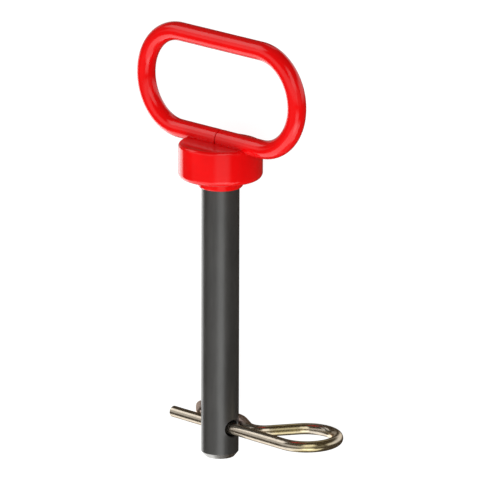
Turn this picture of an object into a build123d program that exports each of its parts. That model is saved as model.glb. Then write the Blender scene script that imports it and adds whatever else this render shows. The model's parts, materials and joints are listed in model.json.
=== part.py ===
# Clevis pin, also sold as a hitch pin: a steel shank with a cross hole, a red collar
# pressed on its upper end, a red loop handle seated in the collar's top, and a
# hair-pin clip through the cross hole. It lies on its side, resting on the collar's
# rim, the clip's eye and the clip's flared end.
import os
from math import asin, atan2, cos, hypot, sin

from build123d import *

# Shank: 5/8 in bar, its heights measured from the underside of the collar's boss
shank_d = 15.875
shank_reach = 116.5
grip_length = 99.4
tip_d = 12.375
tip_chamfer = 2.1
lead_taper = 0.06
seat_taper = 0.3
cross_hole_d = 7.14
cross_hole_depth = 103.35
cross_hole_edge = 0.3

# Collar: a thick disc with a short boss around the shank
collar_d = 35.2
collar_bottom = 3.85
collar_top = 18.95
collar_bottom_round = 2.6
collar_top_round = 1.5
boss_d = 18.6
boss_edge = 0.6
socket_depth = 13.0

# Handle: one coated rod bent to a stadium, its ends butted over the collar's middle
rod_d = 7.8
loop_length = 89.4
loop_height = 41.6
loop_centre_z = 41.25
butt_gap = 0.45
butt_edge = 0.35

# Clip: 3/16 in wire, bent in one plane across the shank, a little low in the cross hole
wire_d = 4.7625
clip_depth = 103.5
leg_tail = 28.7
leg_reach = 38.1
eye_r = 13.1
eye_turn = 239
eye_run = 13.1
neck_r = 7.2
neck_turn = 88.8
neck_run = 7.8
bump_r = 11.9
bump_turn = 62.2
bump_run = 4.1
dip_r = 6.05
dip_turn = 76.4
flare_run = 9.2
wire_end_edge = 0.7

# Where the shank's axis stands over the box of the whole part
axis_x = 25.28
axis_y = 3.88


def bend_clip(plane):
    """The clip's centreline: a straight leg, the eye, then the sprung leg's waves."""
    with BuildLine(plane) as wire:
        leg = Line((-leg_tail, 0), (leg_reach, 0))
        eye = JernArc(leg @ 1, leg % 1, eye_r, eye_turn)
        into_neck = Line(eye @ 1, eye @ 1 + (eye % 1) * eye_run)
        neck = JernArc(into_neck @ 1, into_neck % 1, neck_r, -neck_turn)
        into_bump = Line(neck @ 1, neck @ 1 + (neck % 1) * neck_run)
        bump = JernArc(into_bump @ 1, into_bump % 1, bump_r, bump_turn)
        into_dip = Line(bump @ 1, bump @ 1 + (bump % 1) * bump_run)
        dip = JernArc(into_dip @ 1, into_dip % 1, dip_r, -dip_turn)
        Line(dip @ 1, dip @ 1 + (dip % 1) * flare_run)
    return wire


def lie_on_two(far, far_r, near, near_r):
    """Tilt of the floor line under two circles, and its depth below (0, 0).

    Points are (along, down), and far is the circle that is further along.
    """
    run = far[0] - near[0]
    fall = far[1] - near[1]
    tilt = atan2(fall, run) + asin((far_r - near_r) / hypot(run, fall))
    depth = far[1] * cos(tilt) - far[0] * sin(tilt) + far_r
    return tilt, depth


# The clip's own plane tells how the part rolls: it stands on the eye and the flared end
flat_wire = bend_clip(Plane.XY)
flare_end = flat_wire.line @ 1
flare_way = flat_wire.line % 1
flare_side = Vector(flare_way.Y, -flare_way.X)
end_corner = flare_end + flare_side * (wire_d / 2 - wire_end_edge)
roll, clip_drop = lie_on_two(
    (leg_reach, eye_r), eye_r + wire_d / 2, (end_corner.X, end_corner.Y), 0
)

# Along the shank it stands on the clip and on the collar's upper rim
pitch, axis_h = lie_on_two(
    (collar_top - collar_top_round, collar_d / 2 - collar_top_round),
    collar_top_round,
    (-clip_depth, clip_drop - wire_d / 2),
    wire_d / 2,
)

# The pin's own frame: z runs up the shank to the handle, x along the cross hole
shank_up = (cos(pitch), 0, sin(pitch))
hole_way = (-sin(roll) * sin(pitch), -cos(roll), sin(roll) * cos(pitch))
pin = Plane(origin=(axis_x, axis_y, axis_h), x_dir=hole_way, z_dir=shank_up)
side = Plane(origin=pin.origin, x_dir=pin.x_dir, z_dir=-pin.y_dir)
across = Plane(origin=pin.origin, x_dir=pin.y_dir, z_dir=pin.x_dir)
shank_axis = Axis(pin.origin, pin.z_dir)
shank_r = shank_d / 2

clip_plane = pin.offset(-clip_depth)
bar_half = (loop_length - loop_height) / 2
bar_z = loop_centre_z - loop_height / 2

os.makedirs("parts", exist_ok=True)

with BuildPart() as pin_shank:
    with BuildSketch(side):
        with BuildLine():
            Polyline(
                (0, -shank_reach),
                (tip_d / 2, -shank_reach),
                (shank_r - lead_taper, -shank_reach + tip_chamfer),
                (shank_r, -grip_length),
                (shank_r, 0),
                (shank_r - seat_taper, socket_depth),
                (0, socket_depth),
                close=True,
            )
        make_face()
    revolve(axis=shank_axis)
    with BuildSketch(across):
        with Locations((0, -cross_hole_depth)):
            Circle(cross_hole_d / 2)
    extrude(amount=shank_d, both=True, mode=Mode.SUBTRACT)
    hole_rims = pin_shank.edges().filter_by(GeomType.BSPLINE)
    chamfer(hole_rims, cross_hole_edge)
pin_shank.part.label = "pin_shank"
export_step(pin_shank.part, "parts/pin_shank.step")

with BuildPart() as head_collar:
    with BuildSketch(side) as section:
        with BuildLine():
            Polyline(
                (shank_r, 0),
                (boss_d / 2, 0),
                (boss_d / 2, collar_bottom),
                (collar_d / 2, collar_bottom),
                (collar_d / 2, collar_top),
                (0, collar_top),
                (0, socket_depth),
                (shank_r - seat_taper, socket_depth),
                close=True,
            )
        make_face()
        chamfer(section.vertices().sort_by_distance((boss_d / 2, 0))[0], boss_edge)
        for height, size in ((collar_bottom, collar_bottom_round), (collar_top, collar_top_round)):
            fillet(section.vertices().sort_by_distance((collar_d / 2, height))[0], size)
    revolve(axis=shank_axis)
    with BuildSketch(across):
        with Locations((0, bar_z)):
            Circle(rod_d / 2)
    extrude(amount=collar_d, both=True, mode=Mode.SUBTRACT)
head_collar.part.label = "head_collar"
export_step(head_collar.part, "parts/head_collar.step")

with BuildPart() as handle_rod:
    with BuildLine(side) as loop:
        right_bar = Line((butt_gap / 2, bar_z), (bar_half, bar_z))
        right_end = JernArc(right_bar @ 1, right_bar % 1, loop_height / 2, 180)
        top_bar = Line(right_end @ 1, right_end @ 1 + (right_end % 1) * 2 * bar_half)
        left_end = JernArc(top_bar @ 1, top_bar % 1, loop_height / 2, 180)
        Line(left_end @ 1, left_end @ 1 + (left_end % 1) * (bar_half - butt_gap / 2))
    with BuildSketch(Plane(origin=loop.line @ 0, z_dir=loop.line % 0)):
        Circle(rod_d / 2)
    sweep()
    chamfer(handle_rod.faces().filter_by(GeomType.PLANE).edges(), butt_edge)
handle_rod.part.label = "handle_rod"
export_step(handle_rod.part, "parts/handle_rod.step")

with BuildPart() as hair_pin_clip:
    wire = bend_clip(clip_plane)
    with BuildSketch(Plane(origin=wire.line @ 0, z_dir=wire.line % 0)):
        Circle(wire_d / 2)
    sweep(path=wire.line)
    chamfer(hair_pin_clip.faces().filter_by(GeomType.PLANE).edges(), wire_end_edge)
hair_pin_clip.part.label = "hair_pin_clip"
export_step(hair_pin_clip.part, "parts/hair_pin_clip.step")
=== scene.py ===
import json
from math import asin, cos, degrees, radians, sin

import bpy
from mathutils import Matrix, Vector

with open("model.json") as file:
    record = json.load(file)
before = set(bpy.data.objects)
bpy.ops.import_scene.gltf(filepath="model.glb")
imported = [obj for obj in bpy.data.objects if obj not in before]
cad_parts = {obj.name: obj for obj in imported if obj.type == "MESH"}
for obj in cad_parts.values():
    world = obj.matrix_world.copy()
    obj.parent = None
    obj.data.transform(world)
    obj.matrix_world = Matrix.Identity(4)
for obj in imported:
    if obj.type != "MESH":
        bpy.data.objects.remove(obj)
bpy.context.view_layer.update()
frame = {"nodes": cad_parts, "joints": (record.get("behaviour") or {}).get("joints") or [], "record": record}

# A clevis pin with a red loop handle and a hair-pin clip, lying on a pale studio floor
print("stage 1: frame loaded,", len(frame["nodes"]), "pieces")

millimetres = 1000   # in a metre


# the pin's own axes come from its mount and from the way the clip pulls out
def pinAxes():
    mounts = {m["name"]: m for m in frame["record"]["mounts"]}
    pull = next(j for j in frame["joints"] if j["name"] == "clip_pull")
    shank = mounts["shank"]
    shankUp = -Vector(shank["axis"]).normalized()
    halfGrip = shank["dims"]["length_mm"] / millimetres / 2
    bossFace = Vector(shank["pos_m"]) + shankUp * halfGrip
    clipWay = Vector(pull["axis"]).normalized()
    return bossFace, clipWay, shankUp.cross(clipWay).normalized(), shankUp


bossFace, clipWay, backWay, shankUp = pinAxes()

camSpec = {
    "turn": 45.582,            # degrees round the shank, from its front towards the clip's eye
    "lift": 15.240,            # degrees above the collar's plane
    "roll": -0.186,
    "distance": 2.9132,        # metres, for a long lens
    "lens": 524.81,
    "sensor": 36.0,
    "nearAndFar": (0.1, 20),
    "alongShank": -0.023070,   # the point it looks at, in metres from the boss
    "sideways": 0.008169,
}


def addCamera(spec):
    turn, lift, roll = (radians(spec[k]) for k in ("turn", "lift", "roll"))
    flat = clipWay * sin(turn) - backWay * cos(turn)
    toCamera = flat * cos(lift) + shankUp * sin(lift)
    right = clipWay * cos(turn) + backWay * sin(turn)
    up = shankUp * cos(lift) - flat * sin(lift)
    look = bossFace + shankUp * spec["alongShank"] + right * spec["sideways"]
    rolledRight = right * cos(roll) - up * sin(roll)
    rolledUp = up * cos(roll) + right * sin(roll)
    camera = bpy.data.objects.new("camera", bpy.data.cameras.new("camera"))
    bpy.context.scene.collection.objects.link(camera)
    axes = Matrix((rolledRight, rolledUp, toCamera)).transposed().to_4x4()
    camera.matrix_world = Matrix.Translation(look + toCamera * spec["distance"]) @ axes
    camera.data.lens = spec["lens"]
    camera.data.sensor_width = spec["sensor"]
    camera.data.clip_start, camera.data.clip_end = spec["nearAndFar"]
    bpy.context.scene.camera = camera
    return look, flat, right, toCamera


lookAt, frontWay, rightWay, cameraWay = addCamera(camSpec)
print("stage 2: camera looks down at", round(degrees(asin(cameraWay.z))), "degrees")


def newMaterial(name):
    material = bpy.data.materials.new(name)
    material.use_nodes = True
    tree = material.node_tree
    shader = next(n for n in tree.nodes if n.type == "BSDF_PRINCIPLED")
    return material, tree, shader


def feed(tree, socket, value):
    if isinstance(value, bpy.types.NodeSocket):
        tree.links.new(value, socket)
    else:
        socket.default_value = value


# millimetres in the pin's own frame: x along the cross hole to the clip's eye, z up the shank,
# zero on the boss. They are tied to the mesh, so the finish stays put when the clip is pulled.
def pinPlace(tree):
    axes = Matrix((clipWay, backWay, shankUp)).to_4x4()
    start = axes @ -bossFace
    coords = tree.nodes.new("ShaderNodeTexCoord")
    mapping = tree.nodes.new("ShaderNodeMapping")
    mapping.inputs["Scale"].default_value = (millimetres, millimetres, millimetres)
    mapping.inputs["Rotation"].default_value = axes.to_euler()
    mapping.inputs["Location"].default_value = start * millimetres
    tree.links.new(coords.outputs["Object"], mapping.inputs["Vector"])
    return mapping.outputs["Vector"]


def stretched(tree, place, scale):
    mapping = tree.nodes.new("ShaderNodeMapping")
    mapping.inputs["Scale"].default_value = scale
    tree.links.new(place, mapping.inputs["Vector"])
    return mapping.outputs["Vector"]


usualNoise = (0.3, 0.7)   # most of a noise's values lie between these


def addNoise(tree, place, scale, detail, roughness=0.5, warp=0, stretch=None):
    noise = tree.nodes.new("ShaderNodeTexNoise")
    noise.inputs["Scale"].default_value = scale
    noise.inputs["Detail"].default_value = detail
    noise.inputs["Roughness"].default_value = roughness
    noise.inputs["Distortion"].default_value = warp
    if stretch:
        place = stretched(tree, place, stretch)
    tree.links.new(place, noise.inputs["Vector"])
    return noise.outputs["Fac"]


def remap(tree, value, low, high, toLow, toHigh):
    node = tree.nodes.new("ShaderNodeMapRange")
    tree.links.new(value, node.inputs["Value"])
    ends = (("From Min", low), ("From Max", high), ("To Min", toLow), ("To Max", toHigh))
    for name, number in ends:
        node.inputs[name].default_value = number
    return node.outputs["Result"]


def doMath(tree, kind, *values):
    node = tree.nodes.new("ShaderNodeMath")
    node.operation = kind
    for socket, value in zip(node.inputs, values):
        feed(tree, socket, value)
    return node.outputs[0]


# a mix node has its numbers on sockets 2 and 3, and its colours on 6 and 7
def mixNumbers(tree, share, first, second):
    node = tree.nodes.new("ShaderNodeMix")
    for index, value in ((0, share), (2, first), (3, second)):
        feed(tree, node.inputs[index], value)
    return node.outputs[0]


def mixColours(tree, share, first, second, kind="MIX"):
    node = tree.nodes.new("ShaderNodeMix")
    node.data_type = "RGBA"
    node.blend_type = kind
    for index, value in ((0, share), (6, first), (7, second)):
        feed(tree, node.inputs[index], value)
    return node.outputs[2]


def addBump(tree, height, depth):
    bump = tree.nodes.new("ShaderNodeBump")
    bump.inputs["Distance"].default_value = depth
    bump.inputs["Strength"].default_value = 1
    tree.links.new(height, bump.inputs["Height"])
    return bump.outputs["Normal"]


# in each finish, noise scales are per millimetre, and bump depths are in metres
redCoat = {
    "colour": (0.82, 0.002, 0.003, 1),
    "deepColour": (0.74, 0.001, 0.002, 1),
    "cloud": {"scale": 0.09, "detail": 4},
    "cloudRange": (0.35, 0.65),
    "grain": {"scale": 0.6, "detail": 5, "roughness": 0.6},
    "roughness": (0.30, 0.38),
    "shine": 0.02,
    "coat": 1.0,
    "coatRoughness": 0.025,
    "peel": {"scale": 1.1, "detail": 2},   # orange peel
    "peelDepth": 0.0000015,
}


def makeRedCoat(spec):
    material, tree, shader = newMaterial("redCoat")
    place = pinPlace(tree)
    cloud = addNoise(tree, place, **spec["cloud"])
    grain = addNoise(tree, place, **spec["grain"])
    share = remap(tree, cloud, *spec["cloudRange"], 0, 1)
    red = mixColours(tree, share, spec["deepColour"], spec["colour"])
    feed(tree, shader.inputs["Base Color"], red)
    feed(tree, shader.inputs["Roughness"], remap(tree, grain, *usualNoise, *spec["roughness"]))
    shader.inputs["Specular IOR Level"].default_value = spec["shine"]
    shader.inputs["Coat Weight"].default_value = spec["coat"]
    shader.inputs["Coat Roughness"].default_value = spec["coatRoughness"]
    peel = addBump(tree, addNoise(tree, place, **spec["peel"]), spec["peelDepth"])
    tree.links.new(peel, shader.inputs["Normal"])
    tree.links.new(peel, shader.inputs["Coat Normal"])
    return material


darkSteel = {
    "colour": (0.181, 0.184, 0.182, 1),
    "oiled": (0.156, 0.159, 0.158, 1),
    "oil": {"scale": 0.16, "detail": 4, "stretch": (1, 1, 0.3)},
    "oilRange": (0.38, 0.62),
    "turned": (0.52, 0.52, 0.51, 1),
    "turnedFrom": -114.4,      # the tip's chamfer and end face are bare from the lathe
    "turnedBlend": 0.15,
    "drawnMarks": {"scale": 2.2, "detail": 5, "roughness": 0.65, "stretch": (1, 1, 0.03)},
    "turnedRings": {"scale": 6, "detail": 3},
    "roughness": (0.31, 0.38),
    "metallic": (0.90, 1.0),   # on the shank, and on the bare tip
    "markDepth": 0.0000025,
}


def makeDarkSteel(spec):
    material, tree, shader = newMaterial("darkSteel")
    place = pinPlace(tree)
    parts = tree.nodes.new("ShaderNodeSeparateXYZ")
    tree.links.new(place, parts.inputs["Vector"])
    # drawn bar: long marks up the shank
    drawn = addNoise(tree, place, **spec["drawnMarks"])
    # the turned tip: fine rings round the axis
    squares = [doMath(tree, "POWER", parts.outputs[axis], 2) for axis in ("X", "Y")]
    ringPlace = tree.nodes.new("ShaderNodeCombineXYZ")
    tree.links.new(doMath(tree, "SQRT", doMath(tree, "ADD", *squares)), ringPlace.inputs["X"])
    tree.links.new(parts.outputs["Z"], ringPlace.inputs["Z"])
    rings = addNoise(tree, ringPlace.outputs["Vector"], **spec["turnedRings"])
    above = spec["turnedFrom"] + spec["turnedBlend"]
    below = spec["turnedFrom"] - spec["turnedBlend"]
    tip = remap(tree, parts.outputs["Z"], above, below, 0, 1)
    marks = mixNumbers(tree, tip, drawn, rings)
    # oil and scale in soft patches
    patch = remap(tree, addNoise(tree, place, **spec["oil"]), *spec["oilRange"], 0, 1)
    colour = mixColours(tree, patch, spec["oiled"], spec["colour"])
    feed(tree, shader.inputs["Base Color"], mixColours(tree, tip, colour, spec["turned"]))
    feed(tree, shader.inputs["Roughness"], remap(tree, marks, *usualNoise, *spec["roughness"]))
    feed(tree, shader.inputs["Metallic"], remap(tree, tip, 0, 1, *spec["metallic"]))
    tree.links.new(addBump(tree, marks, spec["markDepth"]), shader.inputs["Normal"])
    return material


yellowZinc = {
    "straw": (0.64, 0.57, 0.47, 1),
    "olive": (0.62, 0.53, 0.30, 1),
    "lilac": (0.85, 0.70, 0.68, 1),
    "clipHeight": -103.5,
    "oliveSpots": ((47, 8, 9), (22, 17, 9)),   # x, y and reach of the yellower plate on the eye
    "oliveEdge": (9, 2),       # past its reach it fades in from the first to the second
    "oliveBlur": 12,           # how far the tint noise pushes that edge about
    "lilacFrom": 13,           # x from which the sprung leg is pinker, to its end
    "lilacEdge": (12, 4),
    "lilacBlur": 16,
    "sprungFrom": (3.5, 6),    # y that parts the sprung leg from the straight one
    "edge": (0.9, 0.8, 0.68, 1),   # tint of what it mirrors at a flat angle
    "drawnMarks": {"scale": 1.6, "detail": 4, "roughness": 0.6, "stretch": (0.06, 0.06, 1.5)},
    "tint": {"scale": 0.12, "detail": 3, "warp": 0.6, "stretch": (1, 1, 1.6)},
    "cloud": {"scale": 0.5, "detail": 4},
    "cloudShade": (0.86, 1.06),
    "roughness": (0.10, 0.16),
    "fleck": {"scale": 2.4, "detail": 3, "roughness": 0.7},
    "fleckRange": (0.52, 0.62),
    "fleckRoughness": 0.2,
    "metallic": 0.97,
    "markDepth": 0.0000015,
}


def makeYellowZinc(spec):
    material, tree, shader = newMaterial("yellowZinc")
    place = pinPlace(tree)
    parts = tree.nodes.new("ShaderNodeSeparateXYZ")
    tree.links.new(place, parts.inputs["Vector"])
    # the wire lies flat across the shank, so marks of one height run along it
    drawn = addNoise(tree, place, **spec["drawnMarks"])
    tint = addNoise(tree, place, **spec["tint"])
    cloud = addNoise(tree, place, **spec["cloud"])
    fleck = addNoise(tree, place, **spec["fleck"])
    colour = spec["straw"]
    for x, y, reach in spec["oliveSpots"]:
        away = tree.nodes.new("ShaderNodeVectorMath")
        away.operation = "DISTANCE"
        tree.links.new(place, away.inputs[0])
        away.inputs[1].default_value = (x, y, spec["clipHeight"])
        blurred = doMath(tree, "MULTIPLY_ADD", tint, spec["oliveBlur"], away.outputs["Value"])
        outer, inner = (reach + edge for edge in spec["oliveEdge"])
        colour = mixColours(tree, remap(tree, blurred, outer, inner, 0, 1), colour, spec["olive"])
    along = doMath(tree, "MULTIPLY_ADD", tint, spec["lilacBlur"], parts.outputs["X"])
    outer, inner = (spec["lilacFrom"] + edge for edge in spec["lilacEdge"])
    pink = remap(tree, along, outer, inner, 0, 1)
    sprung = remap(tree, parts.outputs["Y"], *spec["sprungFrom"], 0, 1)
    colour = mixColours(tree, doMath(tree, "MULTIPLY", pink, sprung), colour, spec["lilac"])
    shade = remap(tree, cloud, *usualNoise, *spec["cloudShade"])
    feed(tree, shader.inputs["Base Color"], mixColours(tree, 1, colour, shade, "MULTIPLY"))
    smooth = remap(tree, drawn, *usualNoise, *spec["roughness"])
    dull = remap(tree, fleck, *spec["fleckRange"], 0, spec["fleckRoughness"])
    feed(tree, shader.inputs["Roughness"], doMath(tree, "ADD", smooth, dull))
    shader.inputs["Metallic"].default_value = spec["metallic"]
    shader.inputs["Specular Tint"].default_value = spec["edge"]
    tree.links.new(addBump(tree, drawn, spec["markDepth"]), shader.inputs["Normal"])
    return material


def finishNode(name, material):
    node = frame["nodes"][name]
    for slot in node.material_slots:
        slot.material = material


red = makeRedCoat(redCoat)
finishNode("head_collar", red)
finishNode("handle_rod", red)
finishNode("pin_shank", makeDarkSteel(darkSteel))
finishNode("hair_pin_clip", makeYellowZinc(yellowZinc))
print("stage 3: finishes on")

floorSpec = {
    "halfSize": 3.0,
    "colours": ((0.19, 0.19, 0.189, 1), (0.21, 0.21, 0.209, 1)),
    "grain": {"scale": 900, "detail": 3},   # per metre
    "roughness": (0.75, 0.85),
    "shine": 0.1,
    "glow": (1, 1, 1, 1),
    "lift": 0.90,              # its own glow, which leaves it just white with a trace of shadow
}


def addFloor(spec):
    half = spec["halfSize"]
    mesh = bpy.data.meshes.new("floor")
    corners = [(-half, -half, 0), (half, -half, 0), (half, half, 0), (-half, half, 0)]
    mesh.from_pydata(corners, [], [(0, 1, 2, 3)])
    floor = bpy.data.objects.new("floor", mesh)
    bpy.context.scene.collection.objects.link(floor)
    material, tree, shader = newMaterial("floorPaint")
    place = tree.nodes.new("ShaderNodeTexCoord").outputs["Object"]
    grain = addNoise(tree, place, **spec["grain"])
    feed(tree, shader.inputs["Base Color"], mixColours(tree, grain, *spec["colours"]))
    feed(tree, shader.inputs["Roughness"], remap(tree, grain, *usualNoise, *spec["roughness"]))
    shader.inputs["Specular IOR Level"].default_value = spec["shine"]
    shader.inputs["Emission Color"].default_value = spec["glow"]
    shader.inputs["Emission Strength"].default_value = spec["lift"]
    floor.data.materials.append(material)
    floor.visible_glossy = False     # the part doesn't mirror the floor,
    floor.visible_diffuse = False    # and takes no light from its glow


# turn 0 is the camera's side and 90 its right; lift goes from the collar's plane to the handle
def wayTo(turn, lift):
    flat = frontWay * cos(radians(turn)) + rightWay * sin(radians(turn))
    return flat * cos(radians(lift)) + shankUp * sin(radians(lift))


softBox = {"turn": -28, "lift": -12, "distance": 1.0, "size": (1.3, 1.3), "power": 4.0}


def addSoftBox(spec):
    way = wayTo(spec["turn"], spec["lift"])
    light = bpy.data.lights.new("softBox", "AREA")
    light.shape = "RECTANGLE"
    light.size, light.size_y = spec["size"]
    light.energy = spec["power"]
    box = bpy.data.objects.new("softBox", light)
    bpy.context.scene.collection.objects.link(box)
    box.rotation_mode = "QUATERNION"
    box.location = lookAt + way * spec["distance"]
    box.rotation_quaternion = way.to_track_quat("Z", "Y")
    box.visible_glossy = False


skySpec = {
    "day": 0.80,               # light on matt surfaces, stronger by the slope towards its sun
    "slope": 0.42,
    "sunTurn": -30,
    "sunLift": -50,
    "seen": 0.97,              # what shows behind the floor's edge
    "dim": (0.060, 0.045, 0.030),   # what is mirrored between the cards
}

# bright cards round the part, which only show as reflections. In degrees: where each one is,
# half its width and height, and the soft edge round it.
cardSpecs = {
    "highLeft": {"turn": -105, "lift": 38, "wide": 12, "tall": 6, "soft": 14, "glow": 1.4},
    "highFront": {"turn": 10, "lift": 40, "wide": 12, "tall": 8, "soft": 19, "glow": 1.35},
    "highBack": {"turn": 174, "lift": 46, "wide": 6, "tall": 4, "soft": 12, "glow": 0.5},
    "bandLeft": {"turn": -40, "lift": 12, "wide": 48, "tall": 6, "soft": 16, "glow": 0.66},
    "bandRight": {"turn": 118, "lift": 15, "wide": 40, "tall": 6, "soft": 17, "glow": 0.95},
    "frontHaze": {"turn": -50, "lift": -15, "wide": 28, "tall": 8, "soft": 14, "glow": 0.13},
    "front": {"turn": 5, "lift": -33, "wide": 11, "tall": 9, "soft": 17, "glow": 1.25},
    "left": {"turn": -146, "lift": -24, "wide": 13, "tall": 9, "soft": 12, "glow": 2.0},
    "leftBack": {"turn": -158, "lift": 6, "wide": 12, "tall": 7, "soft": 11, "glow": 0.35},
    "underLeft": {"turn": -120, "lift": -75, "wide": 25, "tall": 5, "soft": 12, "glow": 0.38},
    "under": {"turn": 0, "lift": -90, "wide": 180, "tall": 12, "soft": 10, "glow": 0.15},
    "rightHaze": {"turn": 32, "lift": 9, "wide": 18, "tall": 7, "soft": 14, "glow": 0.2},
    "ground": {"turn": -45, "lift": -52, "wide": 97, "tall": 12, "soft": 13, "glow": 1.4},
}


def addSky(spec, cards):
    world = bpy.data.worlds.new("studio")
    bpy.context.scene.world = world
    world.use_nodes = True
    world.cycles.sampling_method = "NONE"   # it has no small bright spot to look for
    tree = world.node_tree
    sky = tree.nodes["Background"]
    way = tree.nodes.new("ShaderNodeTexCoord").outputs["Generated"]
    path = tree.nodes.new("ShaderNodeLightPath")

    def blend(kind, *values):
        node = tree.nodes.new("ShaderNodeVectorMath")
        node.operation = kind
        for socket, value in zip(node.inputs, values):
            feed(tree, socket, value)
        return node

    def along(direction):
        return blend("DOT_PRODUCT", way, direction).outputs["Value"]

    def within(angle, half, soft):
        spread = doMath(tree, "ABSOLUTE", angle)
        result = remap(tree, spread, radians(half), radians(half + soft), 1, 0)
        result.node.interpolation_type = "SMOOTHSTEP"
        return result

    lift = doMath(tree, "ARCSINE", along(shankUp))
    shine = spec["dim"]
    for card in cards.values():
        ahead = along(wayTo(card["turn"], 0))
        aside = along(wayTo(card["turn"] + 90, 0))
        swing = doMath(tree, "ARCTAN2", aside, ahead)
        rise = doMath(tree, "SUBTRACT", lift, radians(card["lift"]))
        glow = doMath(tree, "MULTIPLY", within(swing, card["wide"], card["soft"]), card["glow"])
        glow = doMath(tree, "MULTIPLY", within(rise, card["tall"], card["soft"]), glow)
        shine = blend("MULTIPLY_ADD", (1, 1, 1), glow, shine).outputs["Vector"]
    sun = along(wayTo(spec["sunTurn"], spec["sunLift"]))
    day = doMath(tree, "MAXIMUM", doMath(tree, "MULTIPLY_ADD", sun, spec["slope"], spec["day"]), 0)
    seen, glossy = path.outputs["Is Camera Ray"], path.outputs["Is Glossy Ray"]
    other = doMath(tree, "SUBTRACT", 1, doMath(tree, "ADD", glossy, seen))
    plain = doMath(tree, "MULTIPLY_ADD", seen, spec["seen"], doMath(tree, "MULTIPLY", other, day))
    mirrored = blend("MULTIPLY", shine, glossy).outputs["Vector"]
    feed(tree, sky.inputs["Color"], blend("ADD", mirrored, plain).outputs["Vector"])
    sky.inputs["Strength"].default_value = 1


addFloor(floorSpec)
addSky(skySpec, cardSpecs)
addSoftBox(softBox)
bpy.context.scene.view_settings.view_transform = "Standard"
print("stage 4: floor and lights in")
